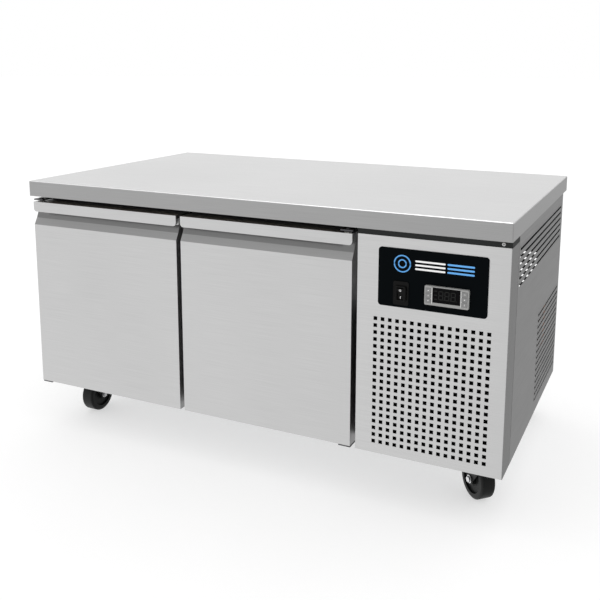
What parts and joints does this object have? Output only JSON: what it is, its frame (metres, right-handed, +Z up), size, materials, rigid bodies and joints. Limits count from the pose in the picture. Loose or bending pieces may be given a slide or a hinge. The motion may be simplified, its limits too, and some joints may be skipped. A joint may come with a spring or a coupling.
{
  "type": "under counter fridge",
  "caption": "Low worktop fridge with hinged doors, a right-hand machine compartment behind a perforated panel, and swivel casters.",
  "frame": {"origin": "on the floor under the middle of the worktop", "axes": "+X to the right seen from the front, +Y to the back, +Z up; the doors face -Y"},
  "size_m": [1.2, 0.7, 0.65],
  "materials": {
    "stainless": "satin",
    "galvanised_steel": "satin",
    "board": "matte",
    "foam": "matte",
    "frame_plastic": "matte",
    "control_black": "satin",
    "switch_black": "satin",
    "silver_plastic": "satin",
    "key_plastic": "satin",
    "window": "gloss",
    "inner_panel": "satin",
    "gasket": "matte",
    "nylon": "satin",
    "screw_steel": "satin",
    "zinc": "satin",
    "caster_rubber": "matte",
    "fin_aluminium": "satin",
    "copper": "satin",
    "black_paint": "satin",
    "fan_plastic": "satin"
  },
  "bodies": {
    "cabinet": {"worktop": "stainless", "worktop_core": "board", "cabinet_top_panel": "stainless", "left_side_panel": "stainless", "right_side_panel": "stainless", "back_panel": "galvanised_steel", "base_panel": "galvanised_steel", "partition_panel": "galvanised_steel", "insulation_foam": "foam", "inner_liner": "stainless", "breaker_frame": "frame_plastic", "mullion": "stainless", "top_trim": "frame_plastic", "screws": "screw_steel", "front_panel": "stainless", "control_plate": "control_black", "switch_bezel": "switch_black", "controller_body": "silver_plastic", "controller_window": "window", "hinge_brackets": "zinc", "evaporator_housing": "stainless", "evaporator_coil": "fin_aluminium", "fan_motors": "black_paint", "wire_shelves": "screw_steel", "shelf_supports": "stainless", "unit_base_plate": "galvanised_steel", "compressor": "black_paint", "condenser_coil": "fin_aluminium", "condenser_shroud": "galvanised_steel", "refrigerant_lines": "copper", "electrical_box": "galvanised_steel", "power_inlet": "switch_black", "caster_plates": "black_paint"},
    "door_left": {"door_left_shell": "stainless", "door_left_inner_panel": "inner_panel", "door_left_foam": "foam", "door_left_gasket": "gasket", "door_left_bushes": "nylon"},
    "door_right": {"door_right_shell": "stainless", "door_right_inner_panel": "inner_panel", "door_right_foam": "foam", "door_right_gasket": "gasket", "door_right_bushes": "nylon"},
    "rocker": {"switch_rocker": "switch_black"},
    "key_1": {"controller_key_1": "key_plastic"},
    "key_2": {"controller_key_2": "key_plastic"},
    "key_3": {"controller_key_3": "key_plastic"},
    "key_4": {"controller_key_4": "key_plastic"},
    "key_5": {"controller_key_5": "key_plastic"},
    "key_6": {"controller_key_6": "key_plastic"},
    "condenser_rotor": {"condenser_fan": "fan_plastic"},
    "evaporator_rotor": {"evaporator_fan": "fan_plastic"},
    "fork_front_left": {"caster_fork_front_left": "black_paint"},
    "wheel_front_left": {"caster_wheel_front_left": "caster_rubber"},
    "fork_front_right": {"caster_fork_front_right": "black_paint"},
    "wheel_front_right": {"caster_wheel_front_right": "caster_rubber"},
    "fork_rear_left": {"caster_fork_rear_left": "black_paint"},
    "wheel_rear_left": {"caster_wheel_rear_left": "caster_rubber"},
    "fork_rear_right": {"caster_fork_rear_right": "black_paint"},
    "wheel_rear_right": {"caster_wheel_rear_right": "caster_rubber"}
  },
  "joints": [
    {"name": "door_left_hinge", "type": "hinge", "parent": "cabinet", "child": "door_left", "pos_m": [-0.584, -0.326, 0.36], "axis": [0, 0, -1], "range_deg": [0, 110]},
    {"name": "door_right_hinge", "type": "hinge", "parent": "cabinet", "child": "door_right", "pos_m": [0.2535, -0.326, 0.36], "axis": [0, 0, 1], "range_deg": [0, 110]},
    {"name": "rocker_tilt", "type": "hinge", "parent": "cabinet", "child": "rocker", "pos_m": [0.377, -0.3421, 0.483], "axis": [-1, 0, 0], "range_deg": [0, 20]},
    {"name": "condenser_fan_spin", "type": "hinge", "parent": "cabinet", "child": "condenser_rotor", "pos_m": [0.44125, -0.1785, 0.263], "axis": [0, 1, 0], "continuous": true},
    {"name": "evaporator_fan_spin", "type": "hinge", "parent": "cabinet", "child": "evaporator_rotor", "pos_m": [-0.16525, -0.1465, 0.465], "axis": [0, 1, 0], "continuous": true},
    {"name": "key_1_press", "type": "slide", "parent": "cabinet", "child": "key_1", "axis": [0, 1, 0], "range_m": [0, 0.0007], "stiffness_N_per_m": 500},
    {"name": "key_2_press", "type": "slide", "parent": "cabinet", "child": "key_2", "axis": [0, 1, 0], "range_m": [0, 0.0007], "stiffness_N_per_m": 500},
    {"name": "key_3_press", "type": "slide", "parent": "cabinet", "child": "key_3", "axis": [0, 1, 0], "range_m": [0, 0.0007], "stiffness_N_per_m": 500},
    {"name": "key_4_press", "type": "slide", "parent": "cabinet", "child": "key_4", "axis": [0, 1, 0], "range_m": [0, 0.0007], "stiffness_N_per_m": 500},
    {"name": "key_5_press", "type": "slide", "parent": "cabinet", "child": "key_5", "axis": [0, 1, 0], "range_m": [0, 0.0007], "stiffness_N_per_m": 500},
    {"name": "key_6_press", "type": "slide", "parent": "cabinet", "child": "key_6", "axis": [0, 1, 0], "range_m": [0, 0.0007], "stiffness_N_per_m": 500},
    {"name": "swivel_front_left", "type": "hinge", "parent": "cabinet", "child": "fork_front_left", "pos_m": [-0.54, -0.227, 0.11], "axis": [0, 0, 1], "continuous": true},
    {"name": "roll_front_left", "type": "hinge", "parent": "fork_front_left", "child": "wheel_front_left", "pos_m": [-0.54, -0.2, 0.045], "axis": [1, 0, 0], "continuous": true},
    {"name": "swivel_front_right", "type": "hinge", "parent": "cabinet", "child": "fork_front_right", "pos_m": [0.54, -0.227, 0.11], "axis": [0, 0, 1], "continuous": true},
    {"name": "roll_front_right", "type": "hinge", "parent": "fork_front_right", "child": "wheel_front_right", "pos_m": [0.52091, -0.20791, 0.045], "axis": [0.7071, 0.7071, 0], "continuous": true},
    {"name": "swivel_rear_left", "type": "hinge", "parent": "cabinet", "child": "fork_rear_left", "pos_m": [-0.54, 0.237, 0.11], "axis": [0, 0, 1], "continuous": true},
    {"name": "roll_rear_left", "type": "hinge", "parent": "fork_rear_left", "child": "wheel_rear_left", "pos_m": [-0.53077, 0.26237, 0.045], "axis": [0.9397, -0.342, 0], "continuous": true},
    {"name": "swivel_rear_right", "type": "hinge", "parent": "cabinet", "child": "fork_rear_right", "pos_m": [0.54, 0.237, 0.11], "axis": [0, 0, 1], "continuous": true},
    {"name": "roll_rear_right", "type": "hinge", "parent": "fork_rear_right", "child": "wheel_rear_right", "pos_m": [0.53301, 0.26308, 0.045], "axis": [0.9659, 0.2588, 0], "continuous": true}
  ]
}
